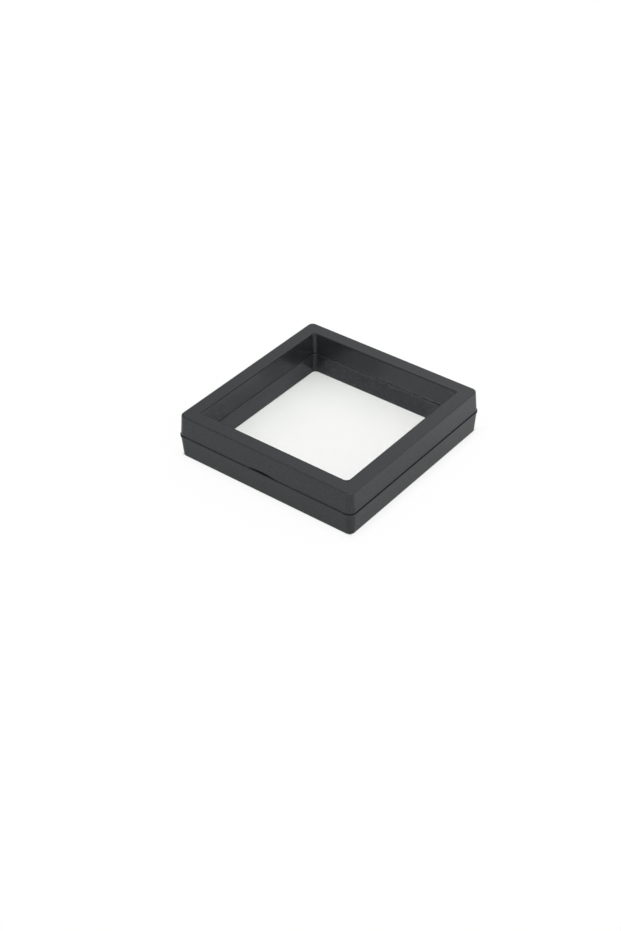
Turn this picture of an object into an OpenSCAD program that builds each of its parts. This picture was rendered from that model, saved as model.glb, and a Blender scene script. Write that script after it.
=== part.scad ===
// Square see-through display box. Two hinged half frames meet close to mid height.
// Each half has a clear film stretched over its window wall like a drum skin,
// and a ring pressed down round that wall holds the film by its skirt.

/* [Outside] */
// width and depth over the closing lip, mm
box_w = 90; // [86:1:120]
// height with the lid shut, mm
box_h = 20; // [17:1:40]
// width of the frame from its outside to the window, mm
border_w = 7.5; // [7:0.1:12]
// plan radius of the outside corners at the parting line, mm
corner_r = 3.3; // [2.8:0.1:6]
// plan radius of the window corners at the faces, mm
window_r = 2; // [1.5:0.1:6]
// lean of the outside walls, degrees
wall_draft = 4.6; // [1:0.1:5]
// lean of the window walls, degrees
window_draft = 3.7; // [1:0.1:5]
// round on the outside edge of the lid's face, mm
face_round = 0.7; // [0.2:0.05:0.9]
// round on the outside edge of the base's face, mm
foot_round = 0.25; // [0.15:0.05:0.9]
// round on the window edge of each face, mm
window_round = 0.3; // [0.1:0.05:0.6]

/* [Walls] */
// thickness of the flat face, mm
face_t = 1.6; // [1.2:0.1:2.4]
// thickness of the outside wall, mm
wall_t = 1.5; // [1.2:0.1:2]
// thickness of the window wall, mm
inner_t = 1.2; // [0.8:0.1:1.6]
// thickness of the ribs in the channel, mm
rib_t = 1; // [0.6:0.1:1.6]
// distance between the ribs of one side, mm
rib_pitch = 26; // [18:1:32]

/* [Parting line] */
// height of the base's lip above mid height, mm
rim_up = 0.25; // [0:0.05:0.4]
// gap between the lid's rim and the base's lip at the sides, mm
rim_gap = 0.3; // [0.2:0.05:0.5]
// the same gap along the front, mm
front_gap = 0.08; // [0.06:0.01:0.14]
// chamfer on the outside of the lid's rim, mm
rim_chamfer = 0.06; // [0.04:0.01:0.2]
// how far the lid's wall stands back from the base's, mm
lid_in = 0.1; // [0.04:0.02:0.2]
// how far the base's lip stands out of the wall, mm
lip_out = 0.22; // [0.1:0.02:0.4]
// height of the base's lip, mm
lip_h = 0.7; // [0.4:0.05:1]
// how far the raised front of the lip stands back, mm
front_in = 0.15; // [0.12:0.01:0.2]
// how far the ridge round the base stands back from the lip, mm
ridge_in = 0.9; // [0.7:0.05:1]
// width of the finger notch in the lid's rim, mm
notch_w = 15; // [13:0.5:24]
// height of the finger notch at its middle, mm
notch_h = 0.8; // [0.6:0.1:1.4]

/* [Films and rings] */
// thickness of a film, mm
film_t = 0.1; // [0.06:0.01:0.2]
// gap between the two films when the box is shut and empty, mm
film_gap = 0.1; // [0.06:0.02:0.4]
// length of film turned over the window wall, mm
skirt_h = 4.4; // [3:0.1:5]
// height of a film ring, mm
ring_h = 4.2; // [3:0.1:5]
// depth of a film ring below the parting line, mm
ring_drop = 0.6; // [0.4:0.1:1]
// gap round the outside of a film ring, mm
ring_gap = 0.25; // [0.15:0.05:0.4]
// clearance of the film on its wall and of the ring on the film, mm
skin_fit = 0.01; // [0.005:0.005:0.03]

/* [Hinge] */
// distance of each hinge from the middle of the box, mm
hinge_x = 24; // [18:1:32]
// hinge axis beyond the lip, mm
hinge_out = 0.2; // [0.1:0.05:0.5]
// radius of the hinge barrel, mm
barrel_r = 1.05; // [0.95:0.05:1.3]
// length of the lid's middle knuckle, mm
knuckle_l = 6; // [4:0.5:9]
// length of each ear on the base, mm
ear_l = 2.6; // [2:0.2:4]
// side gap between ear and knuckle, mm
side_gap = 0.2; // [0.1:0.05:0.4]
// gap between a barrel and the pocket it turns in, mm
swing_gap = 0.3; // [0.2:0.05:0.4]
// radius of the hinge pin, mm
pin_r = 0.5; // [0.4:0.05:0.6]
// radial clearance of the pin in the lid's knuckle, mm
run_gap = 0.04; // [0.02:0.01:0.08]
// radial clearance of the pin in the base's ears, mm
press_gap = 0.01; // [0.005:0.005:0.02]

/* [Catch] */
// distance of each catch tongue from the middle of the box, mm
catch_x = 24; // [16:1:30]
// width of a catch tongue, mm
tongue_w = 8; // [5:0.5:12]
// thickness of a catch tongue, mm
tongue_t = 1; // [0.8:0.1:1.2]
// height of a catch tongue above the parting line, mm
tongue_h = 2.2; // [1.8:0.1:3]
// gap between a tongue and the lid's wall, mm
tongue_gap = 0.3; // [0.25:0.05:0.4]
// radius of the bead on a tongue, mm
bead_r = 0.5; // [0.4:0.05:0.6]
// how far the bead stands out of the tongue, mm
bead_out = 0.14; // [0.1:0.02:0.18]
// height of the bead above the parting line, mm
bead_z = 1.3; // [1.2:0.1:1.6]
// gap between the bead and its groove, mm
bead_gap = 0.25; // [0.2:0.05:0.3]

/* [Hidden] */
$fn = 48;
past = 1;
grid = 0.001;
round_steps = 4;
half_h = box_h / 2;
rim_z = half_h + rim_up;
lid_rim = half_h - rim_up - rim_gap;
front_top = box_h - lid_rim - front_gap;
film_top = half_h - film_gap / 2;
seat_z = film_top - film_t;
wall_half = box_w / 2 - lip_out;
window_half = box_w / 2 - border_w;
lid_half = wall_half - lid_in;
outer_c = wall_half - corner_r;
window_c = window_half - window_r;
channel_c = lid_half - wall_t - 1.6;
lip_z = rim_z - lip_h - lip_out;
lip_chamfer = 0.05;
seat_round = 0.12;
ring_z1 = half_h - ring_drop;
ring_z0 = ring_z1 - ring_h;
skirt_z = seat_z - skirt_h;
channel_top = lid_half - wall_t;
tongue_s1 = channel_top - tongue_gap;
tongue_s0 = tongue_s1 - tongue_t;
tongue_z0 = half_h - 4.5;
root_z1 = half_h - 1;
ring_s = tongue_s0 - ring_gap;
ring_c = ring_s - 2.2;
ring_chamfer = 0.4;
hinge_y = box_w / 2 + hinge_out;
ear_at = knuckle_l / 2 + side_gap;
web_h = barrel_r + 0.6;
web_y0 = lid_half - 0.5;
pin_l = knuckle_l + 2 * side_gap + 2 * ear_l - 0.2;
notch_z = box_h - lid_rim + notch_h;
notch_r = (notch_w * notch_w / 4 + notch_h * notch_h) / (2 * notch_h);
frame_black = [0.07, 0.07, 0.075];
ring_black = [0.1, 0.1, 0.105];
film_clear = [0.9, 0.93, 0.95, 0.35];
pin_steel = [0.7, 0.7, 0.72];

// half width of a leaning outside wall, given the one it has at the parting line, and of its channel
function wall_at(half, z) = half - (half_h - z) * tan(wall_draft);
function channel_at(half, z) = wall_at(half, z) - wall_t;

// half width of the window at a height above the face
function window_at(z) = window_half - z * tan(window_draft);

// half width of the window wall's hidden side, of the film lying on it and of the ring round that
function back_at(z) = window_at(z) + inner_t;
function skin_at(z) = back_at(z) + skin_fit + film_t;
function ring_at(z) = skin_at(z) + skin_fit;

// a length on the finest step that sections use, so that sides and corners meet
function on_grid(v) = round(v / grid) * grid;

// points of an arc in the plane of a section
function arc(x, z, r, from, to) = [
  for (i = [0 : round_steps])
    let (a = from + (to - from) * i / round_steps)
    [x + r * cos(a), z + r * sin(a)]
];

// inset of a round's centre from a wall that leans
function inset(r, draft) = r * (1 - sin(draft)) / cos(draft);

// rounded outside edge of a face
function outer_edge(half, r) = arc(wall_at(half, 0) - inset(r, wall_draft), r, r, -90, -wall_draft);

// outside rim of the base with its lip, the lip's raised front, the ridge behind, and the lid's outside rim
lower_rim = [
  [wall_at(wall_half, lip_z), lip_z],
  [box_w / 2, lip_z + lip_out],
  [box_w / 2, rim_z - lip_chamfer],
  [box_w / 2 - lip_chamfer, rim_z]
];
front_rim = [
  [box_w / 2 - lip_chamfer - 0.02, rim_z - 0.2],
  [box_w / 2 - front_in, front_top]
];
ridge_rim = [
  [box_w / 2 - ridge_in, rim_z - 0.2],
  [box_w / 2 - ridge_in - 0.02, front_top]
];
upper_rim = [
  [wall_at(lid_half, lid_rim - rim_chamfer), lid_rim - rim_chamfer],
  [wall_at(lid_half, lid_rim) - rim_chamfer, lid_rim]
];

// window opening from outside the face to above the rim, rounded at both ends
window_x0 = window_half + inset(window_round, window_draft);
window_x1 = window_at(seat_z - seat_round) + inset(seat_round, -window_draft);
window_edge = concat(
  [[window_x0, -past]],
  arc(window_x0, window_round, window_round, 270, 180 + window_draft),
  arc(window_x1, seat_z - seat_round, seat_round, 180 + window_draft, 90),
  [[window_x1, half_h + past]]
);

// hidden side of the window wall
back_edge = [
  [back_at(0), 0],
  [back_at(seat_z - seat_round), seat_z - seat_round],
  [back_at(seat_z) - seat_round, seat_z]
];

// a square block with rounded corners whose edge follows a list of half widths and heights
module block(edge, centre) {
  c = on_grid(centre);
  side = [for (p = edge) [on_grid(p[0]), on_grid(p[1])]];
  last = len(side) - 1;
  section = concat(side, [for (i = [last : -1 : 0]) [-side[i][0], side[i][1]]]);
  corner = concat(
    [[0, side[0][1]]],
    [for (p = side) [p[0] - c, p[1]]],
    [[0, side[last][1]]]
  );
  rotate([90, 0, 90])
    linear_extrude(height = 2 * c, center = true)
      polygon(section);
  rotate([90, 0, 0])
    linear_extrude(height = 2 * c, center = true)
      polygon(section);
  for (a = [0 : 90 : 270])
    rotate([0, 0, a])
      translate([c, c, 0])
        rotate_extrude(angle = 90)
          polygon(corner);
}

// ribs across the channel that carry the film ring
module ribs() {
  for (a = [0 : 90 : 270])
    for (i = [-1 : 1])
      rotate([0, 0, a])
        translate([i * rib_pitch - rib_t / 2, window_half, 0])
          cube([rib_t, border_w, ring_z0]);
}

// hollow of a half frame, open towards the parting line
module channel(half) {
  difference() {
    block([
      [channel_at(half, face_t), face_t],
      [channel_at(half, half_h + past), half_h + past]
    ], channel_c);
    block(back_edge, window_c);
    ribs();
  }
}

// the base's lip rises a little along the front and falls off at its corners
module front_lip() {
  intersection() {
    block(front_rim, outer_c);
    translate([0, -outer_c, 0])
      rotate([90, 0, 0])
        linear_extrude(height = corner_r + past)
          polygon([
            [-outer_c - 1.5, rim_z - 0.15],
            [-outer_c + 2, front_top + past / 10],
            [outer_c - 2, front_top + past / 10],
            [outer_c + 1.5, rim_z - 0.15]
          ]);
  }
}

module lower_shell() {
  difference() {
    union() {
      block(concat(outer_edge(wall_half, foot_round), lower_rim), outer_c);
      block(ridge_rim, outer_c);
      front_lip();
    }
    channel(wall_half);
    block(window_edge, window_c);
  }
}

module upper_shell() {
  difference() {
    block(concat(outer_edge(lid_half, face_round), upper_rim), outer_c);
    channel(lid_half);
    block(window_edge, window_c);
  }
}

// puts a half's shape upside down on top of the other
module lid_side() {
  translate([0, 0, box_h])
    mirror([0, 0, 1])
      children();
}

// a round bar along the hinge axis
module hinge_bar(x, r, l) {
  translate([x - l / 2, hinge_y, half_h])
    rotate([0, 90, 0])
      cylinder(r = r, h = l);
}

// a hinge barrel with the web that joins it to its wall
module barrel(x, l, up) {
  hinge_bar(x, barrel_r, l);
  translate([x - l / 2, web_y0, up ? half_h : half_h - web_h])
    cube([l, hinge_y - web_y0, web_h]);
}

// spring tongues of the base, with a bead that holds the lid shut
module tongues() {
  for (side = [-1, 1])
    translate([side * catch_x, 0, 0]) {
      rotate([90, 0, 90])
        linear_extrude(height = tongue_w, center = true)
          polygon([
            [-tongue_s0, tongue_z0],
            [-tongue_s0, half_h + tongue_h],
            [-tongue_s1 + tongue_t / 2, half_h + tongue_h],
            [-tongue_s1, half_h + tongue_h - tongue_t / 2],
            [-tongue_s1, root_z1],
            [-channel_top - 0.2, root_z1],
            [-channel_top - 0.2, tongue_z0 + 1]
          ]);
      bead(bead_r, tongue_w - 2);
    }
}

module bead(r, l) {
  translate([-l / 2, -(tongue_s1 + bead_out - bead_r), half_h + bead_z])
    rotate([0, 90, 0])
      cylinder(r = r, h = l);
}

// finger notch through the lid's front wall, a shallow arc
module notch() {
  translate([0, 0.8 - channel_top, notch_z - notch_r])
    rotate([90, 0, 0])
      cylinder(r = notch_r, h = wall_t + 2, $fn = 240);
}

module film_cap() {
  difference() {
    block([[skin_at(skirt_z), skirt_z], [skin_at(film_top), film_top]], window_c);
    block([
      [back_at(skirt_z - past) + skin_fit, skirt_z - past],
      [back_at(seat_z) + skin_fit, seat_z]
    ], window_c);
  }
}

module ring_shape() {
  difference() {
    block([[ring_s, ring_z0], [ring_s, ring_z1 - ring_chamfer], [ring_s - ring_chamfer, ring_z1]], ring_c);
    block([[ring_at(ring_z0 - past), ring_z0 - past], [ring_at(ring_z1 + past), ring_z1 + past]], window_c);
  }
}

module hinge_pin(side) {
  hinge_bar(side * hinge_x, pin_r, pin_l);
}

module lower_frame() {
  color(frame_black)
    difference() {
      union() {
        lower_shell();
        tongues();
        for (side = [-1, 1])
          for (end = [-1, 1])
            barrel(side * hinge_x + end * (ear_at + ear_l / 2), ear_l, false);
      }
      for (side = [-1, 1]) {
        hinge_bar(side * hinge_x, barrel_r + swing_gap, 2 * ear_at);
        hinge_bar(side * hinge_x, pin_r + press_gap, 2 * (ear_at + ear_l) + past);
      }
    }
}

module upper_frame() {
  color(frame_black)
    difference() {
      union() {
        difference() {
          lid_side()
            upper_shell();
          for (side = [-1, 1])
            for (end = [-1, 1])
              hinge_bar(
                side * hinge_x + end * (ear_at + ear_l / 2),
                barrel_r + swing_gap,
                ear_l + 2 * side_gap
              );
        }
        for (side = [-1, 1])
          barrel(side * hinge_x, knuckle_l, true);
      }
      for (side = [-1, 1]) {
        hinge_bar(side * hinge_x, pin_r + run_gap, knuckle_l + past);
        translate([side * catch_x, 0, 0])
          bead(bead_r + bead_gap, tongue_w);
      }
      notch();
    }
}

module lower_film() {
  color(film_clear)
    film_cap();
}

module upper_film() {
  color(film_clear)
    lid_side()
      film_cap();
}

module lower_film_ring() {
  color(ring_black)
    ring_shape();
}

module upper_film_ring() {
  color(ring_black)
    lid_side()
      ring_shape();
}

module hinge_pin_left() {
  color(pin_steel)
    hinge_pin(-1);
}

module hinge_pin_right() {
  color(pin_steel)
    hinge_pin(1);
}

lower_frame();
upper_frame();
lower_film();
upper_film();
lower_film_ring();
upper_film_ring();
hinge_pin_left();
hinge_pin_right();
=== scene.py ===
import math

import bpy
import numpy as np
from mathutils import Matrix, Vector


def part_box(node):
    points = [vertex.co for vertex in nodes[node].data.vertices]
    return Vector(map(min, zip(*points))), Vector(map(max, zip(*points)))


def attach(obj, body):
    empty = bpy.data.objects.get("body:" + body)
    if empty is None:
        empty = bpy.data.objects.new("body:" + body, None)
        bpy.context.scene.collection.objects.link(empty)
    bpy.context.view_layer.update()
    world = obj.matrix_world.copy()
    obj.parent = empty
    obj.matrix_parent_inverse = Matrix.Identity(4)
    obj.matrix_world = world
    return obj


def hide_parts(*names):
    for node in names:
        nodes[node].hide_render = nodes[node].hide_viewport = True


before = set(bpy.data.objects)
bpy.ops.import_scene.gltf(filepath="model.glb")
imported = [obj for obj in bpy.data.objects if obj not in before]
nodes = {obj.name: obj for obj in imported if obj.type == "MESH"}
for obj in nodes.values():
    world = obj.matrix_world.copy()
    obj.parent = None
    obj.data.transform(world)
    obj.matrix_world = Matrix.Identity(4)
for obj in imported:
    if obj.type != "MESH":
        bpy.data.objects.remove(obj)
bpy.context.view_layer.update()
scene = bpy.context.scene
scene.view_settings.view_transform = "Standard"
mm = 0.001
print("frame loaded:", ", ".join(sorted(nodes)))


# an output socket that can stand in a sum: each sum adds one Math node
class Wire:
    def __init__(self, finish, socket):
        self.finish = finish
        self.socket = socket

    def maths(self, kind, *terms):
        return self.finish.add("ShaderNodeMath", {"operation": kind}, dict(enumerate(terms)))

    def __add__(self, other):
        return self.maths("ADD", self, other)

    def __radd__(self, other):
        return self.maths("ADD", other, self)

    def __sub__(self, other):
        return self.maths("SUBTRACT", self, other)

    def __rsub__(self, other):
        return self.maths("SUBTRACT", other, self)

    def __mul__(self, other):
        return self.maths("MULTIPLY", self, other)

    def __rmul__(self, other):
        return self.maths("MULTIPLY", other, self)

    def __pow__(self, other):
        return self.maths("POWER", self, other)

    def __abs__(self):
        return self.maths("ABSOLUTE", self)

    def most(self, other):
        return self.maths("MAXIMUM", self, other)

    # 0 below start, 1 above end and a soft step between
    def rise(self, start, end):
        return self.finish.add(
            "ShaderNodeMapRange",
            {"interpolation_type": "SMOOTHSTEP"},
            {0: self, 1: start, 2: end, 3: 0.0, 4: 1.0},
        )

    # the same step for a length, with its start and end in mm
    def over(self, start, end):
        return self.rise(start * mm, end * mm)

    # a noise about 0 instead of about a half
    def sway(self):
        return self - 0.5


# the node tree of one material or of the world
class Finish:
    def __init__(self, owner):
        owner.use_nodes = True
        self.owner = owner
        self.tree = owner.node_tree
        self.tree.nodes.clear()

    # one node: its settings first, then a value or a link for each socket
    def add(self, kind, settings=None, sockets=None, out=0):
        node = self.tree.nodes.new(kind)
        for key, value in (settings or {}).items():
            if key == "stops":
                ramp = node.color_ramp
                while len(ramp.elements) < len(value):
                    ramp.elements.new(0.5)
                for stop, (place, colour) in zip(ramp.elements, value):
                    stop.position = place
                    stop.color = colour
            else:
                setattr(node, key, value)
        for key, value in (sockets or {}).items():
            if isinstance(value, Wire):
                self.tree.links.new(value.socket, node.inputs[key])
            else:
                node.inputs[key].default_value = value
        return Wire(self, node.outputs[out]) if node.outputs else node

    # Object coordinates, stretched by a scale for each axis
    def place(self, scale=(1, 1, 1)):
        spot = self.add("ShaderNodeTexCoord", out="Object")
        return self.add("ShaderNodeMapping", {}, {"Vector": spot, "Scale": scale})

    # x, y and z of a place or a direction
    def axes(self, spot):
        split = self.add("ShaderNodeSeparateXYZ", {}, {0: spot}).socket.node
        return [Wire(self, socket) for socket in split.outputs]

    # size in mm
    def noise(self, spot, size, detail, rough, twist=0.0):
        sockets = {
            "Vector": spot,
            "Scale": 1 / (size * mm),
            "Detail": detail,
            "Roughness": rough,
            "Distortion": twist,
        }
        return self.add("ShaderNodeTexNoise", {"noise_dimensions": "3D"}, sockets)

    def blend(self, share, first, second):
        return self.add("ShaderNodeMix", {"data_type": "RGBA"}, {0: share, 6: first, 7: second}, out=2)

    # depth in mm, on top of another bump where one is given
    def bump(self, height, strength, deep, under=None):
        sockets = {"Height": height, "Strength": strength, "Distance": deep * mm}
        if under is not None:
            sockets["Normal"] = under
        return self.add("ShaderNodeBump", {}, sockets)

    def end(self, surface, kind="ShaderNodeOutputMaterial"):
        self.add(kind, {}, {"Surface": surface})
        return self.owner


# camera, fitted to straight edges of the frame in the picture
cameraFacts = {
    "lens": 61.819,  # mm
    "sensor": 36,  # mm, the picture's long side
    "right": (0.78636, 0.61757, -0.01574),
    "up": (-0.36694, 0.48742, 0.79232),
    "back": (0.49698, -0.61727, 0.60990),
    "aim": (0.284, -13.809, -4.207),  # mm, a point on the optical axis
    "away": 663.95,  # mm from that point
    "clip": (0.01, 100),  # m
}


def makeCamera(facts):
    data = bpy.data.cameras.new("viewCamera")
    data.lens = facts["lens"]
    data.sensor_width = facts["sensor"]
    data.clip_start, data.clip_end = facts["clip"]
    turn, _, level = np.linalg.svd(np.array([facts["right"], facts["up"], facts["back"]]).T)
    matrix = np.eye(4)
    matrix[:3, :3] = turn @ level  # the nearest true rotation
    matrix[:3, 3] = (np.array(facts["aim"]) + matrix[:3, 2] * facts["away"]) * mm
    camera = bpy.data.objects.new("viewCamera", data)
    scene.collection.objects.link(camera)
    camera.matrix_world = Matrix(matrix.tolist())
    scene.camera = camera


makeCamera(cameraFacts)
print("camera set")


# pale table, one square face that also glows, though it is no lamp: to the eye, so that it reads as plain
# white and still keeps the shadow at the box, and in reflections. Its glow is painted light: it glows less
# towards the window's far walls and along the box, as painted shade, and its tones in reflections are
# painted reflections.
# Two numbers in mm are where a soft step starts and ends.
tableFacts = {
    "size": 12.0,  # m
    "drop": 0.05,  # mm below the base, so that the two faces don't lie in one plane
    "pale": (0.915, 0.945, 0.90, 1),  # a trace of green
    "paler": (0.93, 0.96, 0.915, 1),
    "cloud": (30.0, 2.0, 0.55),  # noise between the two: size in mm, detail, roughness
    "dark": (0, 0, 0, 1),
    "white": (1, 1, 1, 1),
    # a painted tint of the painted reflections inside the window
    "cool": (1.0, 0.976, 1.005, 1),  # instead of white in reflections inside the window
    "under": (40, 41),  # from inside to outside, hidden under the frame
    # to the eye, inside, with painted shade towards the far walls: in the far corner, added off the left
    # wall, off the back and off both
    "eyePaintedShade": (0.40, 0.17, 0.11, 0.125),
    "offLeft": (-42, -8),
    "offBack": (12, 42),
    # to the eye, outside: added past the edge and further out, and moved there from the edge on the right,
    # which leaves a painted shadow along the right side
    "eyeRound": (0.85, 0.10, 0.1),
    "pastEdge": (43.2, 44.4),
    "further": (44, 49),
    "rightSide": (40, 44),
    # painted reflections, inside: on the left, added on the right, and painted shade in the far corner and
    # in the dip beside it
    "paintedReflectionWithin": (0.59, 0.41, -0.275, -0.1),
    "paintedBrightStep": (-20, -10),  # from left to right
    "shifts": (3, 37),  # mm, by which that step lies further right in front and at the back
    "shiftFront": (0, 12),
    "shiftBack": (22, 30),
    "nookBack": (16, 36),
    "nookLeft": (-36, -28),
    "dipNear": (19, 27),
    "dipFar": (30, 34),
    "dipLeft": (-31, -25),
    "dipRight": (-16, -10),
    # painted reflections, outside: far off, added right, behind there, along the box and along its front;
    # along the box they are darker, a painted shade
    "paintedReflectionRound": (0.81, 0.032, 0.136, -0.275, 0.05),
    "right": (30, 60),
    "behind": (15, 50),
    "away": (46, 62),
    "frontSide": (-46, -40),
}


def makeTable(facts):
    half = facts["size"] / 2
    low = -facts["drop"] * mm
    corners = [(-half, -half, low), (half, -half, low), (half, half, low), (-half, half, low)]
    mesh = bpy.data.meshes.new("tableTop")
    mesh.from_pydata(corners, [], [(0, 1, 2, 3)])
    table = bpy.data.objects.new("tableTop", mesh)
    scene.collection.objects.link(table)
    fin = Finish(bpy.data.materials.new("paleTablePaintedLight"))
    fin.owner.cycles.emission_sampling = "NONE"  # the glow is for the eye and the gloss, not a lamp
    spot = fin.place()
    x, y, _ = fin.axes(spot)
    far = abs(x).most(abs(y))  # from the middle of the box
    outside = far.over(*facts["under"])
    inside = 1 - outside

    # the glow to the eye, with painted shade inside the window and a painted shadow along the right side
    corner, left, back, both = facts["eyePaintedShade"]
    offLeft = x.over(*facts["offLeft"])
    offBack = 1 - y.over(*facts["offBack"])
    paintedShadeInside = corner + offLeft * left + offBack * back + offLeft * offBack * both
    edge, beyond, deeper = facts["eyeRound"]
    shadow = x.over(*facts["rightSide"]) * deeper
    eye = paintedShadeInside * inside + far.over(*facts["pastEdge"]) * (edge - shadow)
    eye = eye + far.over(*facts["further"]) * (beyond + shadow)

    # its tone in reflections: painted reflections, with painted shade in the far corner, in the dip and
    # along the box
    shade, more, nookTone, dipTone = facts["paintedReflectionWithin"]
    frontBy, backBy = facts["shifts"]
    shift = (1 - y.over(*facts["shiftFront"])) * (frontBy * mm)
    shift = shift + y.over(*facts["shiftBack"]) * (backBy * mm)
    paintedBrightStep = (x - shift).over(*facts["paintedBrightStep"])
    nookPaintedShade = y.over(*facts["nookBack"]) * (1 - x.over(*facts["nookLeft"]))
    dipPaintedShade = y.over(*facts["dipNear"]) * (1 - y.over(*facts["dipFar"]))
    dipPaintedShade = dipPaintedShade * x.over(*facts["dipLeft"]) * (1 - x.over(*facts["dipRight"]))
    tone = (shade + nookPaintedShade * nookTone + dipPaintedShade * dipTone + paintedBrightStep * more) * inside
    plain, right, behind, paintedShadeAlongBox, front = facts["paintedReflectionRound"]
    plain = plain + x.over(*facts["right"]) * (right + y.over(*facts["behind"]) * behind)
    paintedShadeAlongBox = paintedShadeAlongBox + (1 - y.over(*facts["frontSide"])) * front
    tone = tone + (plain + (1 - far.over(*facts["away"])) * paintedShadeAlongBox) * outside

    # matt to all other rays
    seen = fin.add("ShaderNodeLightPath", out="Is Camera Ray")
    shone = fin.add("ShaderNodeLightPath", out="Is Glossy Ray")
    passed = fin.add("ShaderNodeLightPath", out="Is Transmission Ray")
    share = (seen.most(passed) * eye).most(shone)
    pale = fin.blend(fin.noise(spot, *facts["cloud"]), facts["pale"], facts["paler"])
    sockets = {"Base Color": pale, "Specular IOR Level": 0.0, "Roughness": 1.0}
    matt = fin.add("ShaderNodeBsdfPrincipled", {}, sockets)
    white = fin.blend(shone * inside, facts["white"], facts["cool"])
    sockets = {"Base Color": facts["dark"], "Specular IOR Level": 0.0, "Emission Strength": 1.0}
    sockets["Emission Color"] = fin.blend(1 - shone * (1 - tone), facts["dark"], white)
    glow = fin.add("ShaderNodeBsdfPrincipled", {}, sockets)
    mesh.materials.append(fin.end(fin.add("ShaderNodeMixShader", {}, {0: share, 1: matt, 2: glow})))


makeTable(tableFacts)


# soft light: a pale room that gets dimmer towards its left side, and one wide key
lightFacts = {
    # how far right a ray points, from 0 to 1, and the room's tone there
    "room": [(0.0, 0.35), (0.17, 0.46), (0.33, 1.16), (0.55, 1.06), (1.0, 0.9)],
    "blue": 1.01,  # a trace of blue
    "keyPower": 0.6,
    "keyWide": 60.0,  # degrees
    "keyFrom": (0.80, -0.45, 0.85),
}


def makeLight(facts):
    world = bpy.data.worlds.new("room")
    scene.world = world
    fin = Finish(world)
    right, _, _ = fin.axes(fin.add("ShaderNodeTexCoord", out="Generated"))  # the ray's direction, -1 to 1
    stops = [(place, (tone, tone, tone * facts["blue"], 1)) for place, tone in facts["room"]]
    tone = fin.add("ShaderNodeValToRGB", {"stops": stops}, {0: right * 0.5 + 0.5})
    fin.end(fin.add("ShaderNodeBackground", {}, {"Color": tone, "Strength": 1.0}), "ShaderNodeOutputWorld")

    data = bpy.data.lights.new("keyLight", "SUN")
    data.energy = facts["keyPower"]
    data.angle = math.radians(facts["keyWide"])
    key = bpy.data.objects.new("keyLight", data)
    scene.collection.objects.link(key)
    back = np.array(facts["keyFrom"]) / np.linalg.norm(facts["keyFrom"])
    side = np.cross((0, 0, 1), back)
    side /= np.linalg.norm(side)
    matrix = np.eye(4)
    matrix[:3, :3] = np.stack([side, np.cross(back, side), back], axis=1)
    key.matrix_world = Matrix(matrix.tolist())


makeLight(lightFacts)
print("table and light set")


# black plastic of the half frames: a smooth window wall, the rest sanded, with faint clouds, rubbed outside
# edges, a dull window edge painted darker as painted shade, pale lines beside the films that are a painted
# highlight and a little dust. Two numbers are where a soft step starts and ends.
frameFacts = {
    "black": (0.0168, 0.0178, 0.019, 1),
    "pale": (0.0213, 0.0225, 0.024, 1),
    "pit": (0.0083, 0.0088, 0.0093, 1),  # in the sanded outside
    "tip": (0.0246, 0.0261, 0.0278, 1),
    "worn": (0.03, 0.0305, 0.032, 1),
    # a painted shade for the window's edge
    "rim": (0.004, 0.0043, 0.0046, 1),
    # the colour of a painted highlight beside the films
    "line": (0.05, 0.051, 0.053, 1),
    "speck": (0.08, 0.08, 0.082, 1),
    "shine": (0.915, 0.965, 1.0, 1),  # a trace of blue in the gloss
    "ior": 1.48,
    # noises: size in mm, detail, roughness
    "cloud": (9.0, 3.0, 0.55),
    "smear": (2.2, 4.0, 0.6),
    "grain": (0.22, 2.0, 0.6),
    "peel": (1.6, 1.0, 0.4),
    "sand": (0.5, 4.0, 0.75),
    "highlightBreaks": (2.4, 3.0, 0.6),
    # places, in mm from the middle of the box or from the parting line
    "midHigh": 10.0,  # height of the parting line
    "wallEnd": (38.1, 38.9),  # from the end of the window wall's round to the sanded flat of a face
    "faceHigh": (9.35, 9.85),
    "edge": (43.2, 43.9),  # to a face's outside edge
    "rimAt": 37.6,  # the round of the window edge
    "rimFade": (0.2, 0.5),
    "lineOff": 0.85,
    "lineFade": (0.15, 0.4),
    "lineEnds": (0, 4),  # off the corners, on the front and back walls
    "lineLeft": (-26, -12),  # none further left
    # steps and shares
    "cloudShare": 0.6,  # the rest is smears
    "cloudStep": (0.3, 0.7),
    "sandStep": (0.42, 0.58),
    "sandShare": 0.8,
    "wornStep": (0.42, 0.68),
    "wornShare": 0.5,
    "breakStep": (0.4, 0.66),
    "lineKeep": 0.25,  # share of the painted highlight line that is left in its breaks
    "dustCell": 3.4,  # mm
    "dustSize": (0.02, 0.05),  # of a cell
    "dustStep": (0.78, 0.8),
    "dustShare": 0.6,
    # roughness on the window wall and added outside it
    "rough": (0.245, 0.035),
    "cloudRough": (0.03, 0.07),
    "grainRough": (0.04, 0.08),
    "wornRough": -0.12,  # added there
    "rimRough": 0.3,
    # bumps: strength and depth in mm
    "peelBump": (0.25, 0.012),
    "grainBump": (0.35, 0.008),
    "sandBump": (0.5, 0.03),
}


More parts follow.
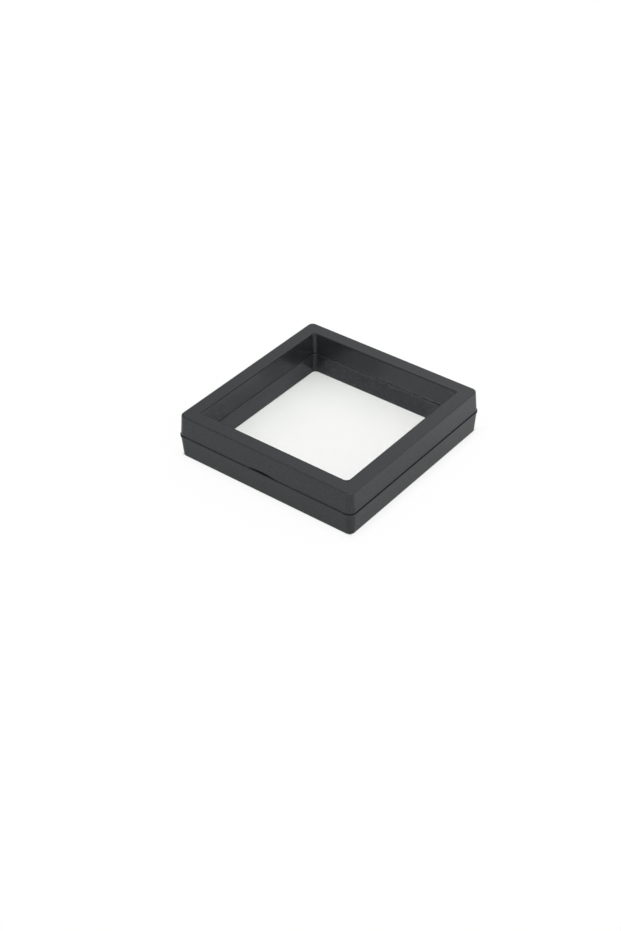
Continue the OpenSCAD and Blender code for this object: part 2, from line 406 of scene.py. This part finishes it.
def makeFramePlastic(facts):
    fin = Finish(bpy.data.materials.new("framePlastic"))
    spot = fin.place()
    cloud = fin.noise(spot, *facts["cloud"])
    smear = fin.noise(spot, *facts["smear"])
    grain = fin.noise(spot, *facts["grain"])
    peel = fin.noise(spot, *facts["peel"])
    sand = fin.noise(spot, *facts["sand"])
    highlightBreaks = fin.noise(spot, *facts["highlightBreaks"])
    x, y, z = fin.axes(spot)
    far = abs(x).most(abs(y))  # from the middle of the box
    off = abs(z - facts["midHigh"] * mm)  # from the parting line
    outer = far.over(*facts["wallEnd"])
    high = off.over(*facts["faceHigh"])

    # a face's outside edge is rubbed a little paler and smoother; the window's edge is duller and painted
    # darker, a painted shade
    worn = far.over(*facts["edge"]) * high * smear.rise(*facts["wornStep"]) * facts["wornShare"]
    rim = (1 - abs(far - facts["rimAt"] * mm).over(*facts["rimFade"])) * high

    # beside the films the front and back window walls carry pale broken lines, a painted highlight, only
    # towards the right
    line = (1 - abs(off - facts["lineOff"] * mm).over(*facts["lineFade"])) * (1 - outer)
    line = line * (abs(y) - abs(x)).over(*facts["lineEnds"]) * x.over(*facts["lineLeft"])
    line = line * (facts["lineKeep"] + highlightBreaks.rise(*facts["breakStep"]) * (1 - facts["lineKeep"]))

    # a few specks of dust: the middles of some cells
    cell = {"Vector": spot, "Scale": 1 / (facts["dustCell"] * mm), "Randomness": 1.0}
    near = fin.add("ShaderNodeTexVoronoi", {"feature": "F1"}, cell, out="Distance")
    pick = fin.add("ShaderNodeTexVoronoi", {"feature": "F1"}, cell, out="Color")
    lot = fin.add("ShaderNodeSeparateColor", {}, {0: pick}, out=0)
    dust = (1 - near.rise(*facts["dustSize"])) * lot.rise(*facts["dustStep"])

    clouds = cloud * facts["cloudShare"] + smear * (1 - facts["cloudShare"])
    colour = fin.blend(clouds.rise(*facts["cloudStep"]), facts["black"], facts["pale"])
    sanded = fin.blend(sand.rise(*facts["sandStep"]), facts["pit"], facts["tip"])
    colour = fin.blend(outer * facts["sandShare"], colour, sanded)
    colour = fin.blend(worn, colour, facts["worn"])
    colour = fin.blend(rim, colour, facts["rim"])
    colour = fin.blend(line, colour, facts["line"])
    colour = fin.blend(dust * facts["dustShare"], colour, facts["speck"])

    wall, added = facts["rough"]
    rough = wall + outer * added + worn * facts["wornRough"] + rim * facts["rimRough"]
    for noise, (wall, added) in ((cloud, facts["cloudRough"]), (grain, facts["grainRough"])):
        rough = rough + noise.sway() * (wall + outer * added)
    bumps = fin.bump(peel, *facts["peelBump"])
    bumps = fin.bump(grain, *facts["grainBump"], bumps)
    bumps = fin.bump(sand.sway() * outer, *facts["sandBump"], bumps)
    sockets = {"Base Color": colour, "Roughness": rough, "Normal": bumps, "IOR": facts["ior"]}
    sockets["Specular Tint"] = facts["shine"]
    return fin.end(fin.add("ShaderNodeBsdfPrincipled", {}, sockets))


# black plastic of the film rings: plainer, with flow lines round the ring
ringFacts = {
    "black": (0.011, 0.0112, 0.0118, 1),
    "pale": (0.017, 0.0173, 0.018, 1),
    "ior": 1.5,
    # noises: size in mm, detail, roughness
    "cloud": (6.0, 3.0, 0.55),
    "grain": (0.3, 2.0, 0.6),
    "flow": (3.0, 3.0, 0.6),
    "flowScale": (1, 1, 9),  # close together in height
    "cloudShare": 0.5,  # the rest is flow lines
    "cloudStep": (0.32, 0.68),
    "rough": 0.42,
    "flowRough": 0.16,
    "grainRough": 0.1,
    # bumps: strength and depth in mm
    "flowBump": (0.2, 0.02),
    "grainBump": (0.3, 0.01),
}


def makeRingPlastic(facts):
    fin = Finish(bpy.data.materials.new("ringPlastic"))
    spot = fin.place()
    cloud = fin.noise(spot, *facts["cloud"])
    grain = fin.noise(spot, *facts["grain"])
    flow = fin.noise(fin.place(facts["flowScale"]), *facts["flow"])
    clouds = cloud * facts["cloudShare"] + flow * (1 - facts["cloudShare"])
    colour = fin.blend(clouds.rise(*facts["cloudStep"]), facts["black"], facts["pale"])
    rough = facts["rough"] + flow.sway() * facts["flowRough"] + grain.sway() * facts["grainRough"]
    bumps = fin.bump(grain, *facts["grainBump"], fin.bump(flow, *facts["flowBump"]))
    sockets = {"Base Color": colour, "Roughness": rough, "Normal": bumps, "IOR": facts["ior"]}
    return fin.end(fin.add("ShaderNodeBsdfPrincipled", {}, sockets))


# steel wire of the hinge pins, drawn along its length
pinFacts = {
    "steel": (0.56, 0.56, 0.57, 1),
    "dull": (0.40, 0.40, 0.41, 1),
    # noises: size in mm, detail, roughness
    "streak": (0.12, 3.0, 0.6),
    "streakScale": (0.03, 1, 1),  # long in x
    "stain": (1.5, 3.0, 0.55),
    "streakShare": 0.6,  # the rest is stains
    "streakStep": (0.3, 0.7),
    "rough": 0.28,
    "streakRough": 0.2,
    "stainRough": 0.1,
    "streakBump": (0.3, 0.004),  # strength and depth in mm
}


def makePinSteel(facts):
    fin = Finish(bpy.data.materials.new("pinSteel"))
    streak = fin.noise(fin.place(facts["streakScale"]), *facts["streak"])
    stain = fin.noise(fin.place(), *facts["stain"])
    drawn = streak * facts["streakShare"] + stain * (1 - facts["streakShare"])
    colour = fin.blend(drawn.rise(*facts["streakStep"]), facts["dull"], facts["steel"])
    rough = facts["rough"] + streak.sway() * facts["streakRough"] + stain.sway() * facts["stainRough"]
    bumps = fin.bump(streak, *facts["streakBump"])
    sockets = {"Base Color": colour, "Roughness": rough, "Metallic": 1.0, "Normal": bumps}
    return fin.end(fin.add("ShaderNodeBsdfPrincipled", {}, sockets))


framePlastic = makeFramePlastic(frameFacts)
ringPlastic = makeRingPlastic(ringFacts)
pinSteel = makePinSteel(pinFacts)
finishOf = {
    "lower_frame": framePlastic,
    "upper_frame": framePlastic,
    "lower_film_ring": ringPlastic,
    "upper_film_ring": ringPlastic,
    "hinge_pin_left": pinSteel,
    "hinge_pin_right": pinSteel,
}
for name, finish in finishOf.items():
    for slot in nodes[name].material_slots:
        slot.material = finish
print("moulded pieces and pins finished:", len(finishOf))


# clear films: seen through, glossy at a slant, with a trace of haze and a pale line over the window wall
# that is a painted highlight
filmFacts = {
    "clear": (0.9965, 0.9973, 0.9957, 1),
    "tint": (0.40, 0.405, 0.405, 1),  # of the gloss
    "tintPale": (0.46, 0.465, 0.465, 1),
    "metal": 0.8,  # of the gloss
    "straightOn": 0.004,  # share of light thrown back straight on
    "aslant": 0.4,  # and added at a slant
    "haze": 0.004,
    "hazeParts": (0.4, 0.9, 0.5),  # even, in the clouds and in the creases
    # noises: size in mm, detail, roughness, twist
    "slack": (14.0, 2.0, 0.5, 0.6),
    "crease": (2.6, 3.0, 0.55, 0.8),
    "creaseScale": (1, 0.35, 1),  # long in y
    "cloud": (7.0, 3.0, 0.55),
    "creaseStep": (0.45, 0.7),
    "cloudStep": (0.3, 0.7),
    "rough": 0.08,
    "creaseRough": 0.06,
    # bumps: strength and depth in mm
    "slackBump": (0.3, 0.2),
    "creaseBump": (0.2, 0.03),
    # the pale line over the window wall, a painted highlight, with its places in mm
    "foldHighlight": (0.78, 0.79, 0.80, 1),
    "foldMetal": -0.7,  # added there
    "foldAt": 37.0,  # from the middle
    "foldFade": (0.14, 0.3),
    "foldEnds": (4, 16),  # off the corners
    "foldShare": (0.03, 0.035),  # all round and added on the front and back
    "foldSides": (0, 8),
    # the skin, in mm
    "cornerAt": 35.5,  # centre of the corner arcs
    "solidHalf": 0.05,  # half the thickness of the film in the CAD
    "thick": 0.08,
    "bend": 0.15,  # radius of the turn over the window wall
    "lean": 3.7,  # degrees, lean of the skirt
    "wave": 0.03,  # height of the slow waves
    "waveLengths": (11, 17, 23, 31, 47),
    "waveEnd": 1.5,  # short of the wall
    "cut": 84.8,  # the film's cut size
    # points along each side and round each corner, and rows out from the middle
    "side": 72,
    "corner": 24,
    "flatRows": 44,
    "closing": 1.7,  # power by which the flat rows close up towards the wall
    "bendRows": 8,
    "skirtRows": 9,
}


def makeFilmFinish(facts):
    fin = Finish(bpy.data.materials.new("clearFilm"))
    spot = fin.place()
    slack = fin.noise(spot, *facts["slack"])
    crease = fin.noise(fin.place(facts["creaseScale"]), *facts["crease"])
    cloud = fin.noise(spot, *facts["cloud"])
    slant = fin.add("ShaderNodeLayerWeight", {}, {"Blend": 0.5}, out="Facing")
    even, clouds, creases = facts["hazeParts"]
    haze = even + cloud * clouds + crease.rise(*facts["creaseStep"]) * creases
    share = facts["straightOn"] + facts["aslant"] * slant ** 5 + facts["haze"] * haze
    tint = fin.blend(cloud.rise(*facts["cloudStep"]), facts["tint"], facts["tintPale"])
    rough = facts["rough"] + crease.sway() * facts["creaseRough"]

    # over the window wall the film carries a faint pale line, a painted highlight, none at a corner and
    # stronger on the front and back
    reach = fin.add("ShaderNodeAttribute", {"attribute_name": "reach"}, out="Fac")  # mm from the middle
    foldHighlight = 1 - abs(reach - facts["foldAt"]).rise(*facts["foldFade"])
    x, y, _ = fin.axes(spot)
    off = abs(y) - abs(x)  # 0 at a corner, more than 0 on the front and back
    around, added = facts["foldShare"]
    foldHighlightStrength = around + off.over(*facts["foldSides"]) * added
    share = share + foldHighlight * abs(off).over(*facts["foldEnds"]) * foldHighlightStrength
    tint = fin.blend(foldHighlight, tint, facts["foldHighlight"])
    metal = facts["metal"] + foldHighlight * facts["foldMetal"]
    bumps = fin.bump(crease, *facts["creaseBump"], fin.bump(slack, *facts["slackBump"]))
    sockets = {"Base Color": tint, "Roughness": rough, "Metallic": metal, "Normal": bumps}
    gloss = fin.add("ShaderNodeBsdfPrincipled", {}, sockets)
    clear = fin.add("ShaderNodeBsdfTransparent", {}, {"Color": facts["clear"]})
    return fin.end(fin.add("ShaderNodeMixShader", {}, {0: share, 1: clear, 2: gloss}))


# A film is a skin of two parameters, the run round the window and the row out from its middle.
# Round the run stand the corner centres' square and its outward direction, which turns at the corners.
# A flat row is the window's rounded square drawn in towards the middle; after it the rows follow a section,
# half width and drop, round the bend and down the leaning skirt. Slow waves lift the flat, none at the wall.
def makeFilm(name, node, body, facts, finish, up, seed):
    low, high = [np.array(corner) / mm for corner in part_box(node)]
    level = (high[2] if up > 0 else low[2]) - up * facts["solidHalf"]  # in the middle of the solid film
    deep = high[2] - low[2] - facts["solidHalf"]
    lean = math.radians(facts["lean"])
    bend = facts["bend"]
    centre = facts["cornerAt"]
    shoulder = high[0] - facts["solidHalf"] - deep * math.tan(lean)
    flatEnd = shoulder - bend * (1 - math.sin(lean)) / math.cos(lean)
    turn = np.linspace(0, math.pi / 2 - lean, facts["bendRows"] + 1)[1:]
    bendWide = flatEnd + bend * np.sin(turn)
    bendDrop = bend * (1 - np.cos(turn))
    skirtDrop = np.linspace(bendDrop[-1], deep, facts["skirtRows"] + 1)[1:]
    skirtWide = bendWide[-1] + (skirtDrop - bendDrop[-1]) * math.tan(lean)

    # the run: a corner arc and a side, then the same three times more, each a quarter turn on
    arc = np.linspace(0, math.pi / 2, facts["corner"])
    straight = np.linspace(1, -1, facts["side"] + 2)[1:-1]
    outX = np.concatenate([np.cos(arc), np.zeros(len(straight))])
    outY = np.concatenate([np.sin(arc), np.ones(len(straight))])
    baseX = centre * np.concatenate([np.ones(len(arc)), straight])
    baseY = np.full(len(baseX), centre)
    quarters = [np.linalg.matrix_power(np.array([(0, 1), (-1, 0)]), count) for count in range(4)]
    out = np.concatenate([np.stack([outX, outY], 1) @ quarter for quarter in quarters])
    base = np.concatenate([np.stack([baseX, baseY], 1) @ quarter for quarter in quarters])
    runs = len(out)

    # rows: shares of the flat that close up towards the wall, then the section beyond it
    share = 1 - (1 - np.linspace(0, 1, facts["flatRows"] + 1)[1:]) ** facts["closing"]
    edge = base + (flatEnd - centre) * out
    flat = share[:, None, None] * edge[None]
    wide = np.concatenate([bendWide, skirtWide])
    drop = np.concatenate([bendDrop, skirtDrop])
    beyond = base[None] + (wide - centre)[:, None, None] * out[None]
    plan = np.concatenate([flat, beyond])
    depth = np.concatenate([np.zeros(len(share)), drop])
    reach = np.concatenate([share * flatEnd, wide])

    # the waves: a few sines of set lengths, each with a heading and a phase drawn by lot
    rng = np.random.default_rng(seed)
    wave = np.zeros(plan.shape[:2])
    for length in facts["waveLengths"]:
        heading, phase = rng.uniform(0, math.tau, 2)
        lay = plan[..., 0] * math.cos(heading) + plan[..., 1] * math.sin(heading)
        wave += np.sin(lay * math.tau / length + phase) / len(facts["waveLengths"])
    fade = np.sqrt(np.clip(1 - reach / (flatEnd - facts["waveEnd"]), 0, 1))
    height = level + up * (facts["wave"] * wave * fade[:, None] - depth[:, None])
    points = np.concatenate([plan, height[..., None]], axis=2).reshape(-1, 3)
    points = np.concatenate([[(0, 0, level)], points])

    # faces: a fan round the middle, then a band between each two rows
    here = np.arange(runs)
    after = (here + 1) % runs
    fan = np.stack([np.zeros(runs, int), here + 1, after + 1], 1)
    inner = 1 + np.arange(len(depth) - 1)[:, None] * runs
    outer = inner + runs
    band = np.stack([inner + here, outer + here, outer + after, inner + after], 2).reshape(-1, 4)
    if up < 0:
        fan, band = fan[:, ::-1], band[:, ::-1]
    mesh = bpy.data.meshes.new(name)
    mesh.from_pydata((points * mm).tolist(), [], fan.tolist() + band.tolist())
    mesh.polygons.foreach_set("use_smooth", np.ones(len(mesh.polygons), bool))
    mark = mesh.attributes.new("reach", "FLOAT", "POINT")
    mark.data.foreach_set("value", np.concatenate([[0], np.repeat(reach, runs)]).astype(np.float32))
    mesh.materials.append(finish)
    film = bpy.data.objects.new(name, mesh)
    scene.collection.objects.link(film)
    gauge = film.modifiers.new("gauge", "SOLIDIFY")
    gauge.thickness = facts["thick"] * mm
    gauge.offset = 0
    gauge.use_even_offset = True
    film.visible_glossy = False  # its own gloss in the walls would only be noise
    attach(film, body)
    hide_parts(node)


filmFinish = makeFilmFinish(filmFacts)
makeFilm("lower_film_skin", "lower_film", "base", filmFacts, filmFinish, 1, 11)
makeFilm("upper_film_skin", "upper_film", "lid", filmFacts, filmFinish, -1, 23)
print("films stretched")
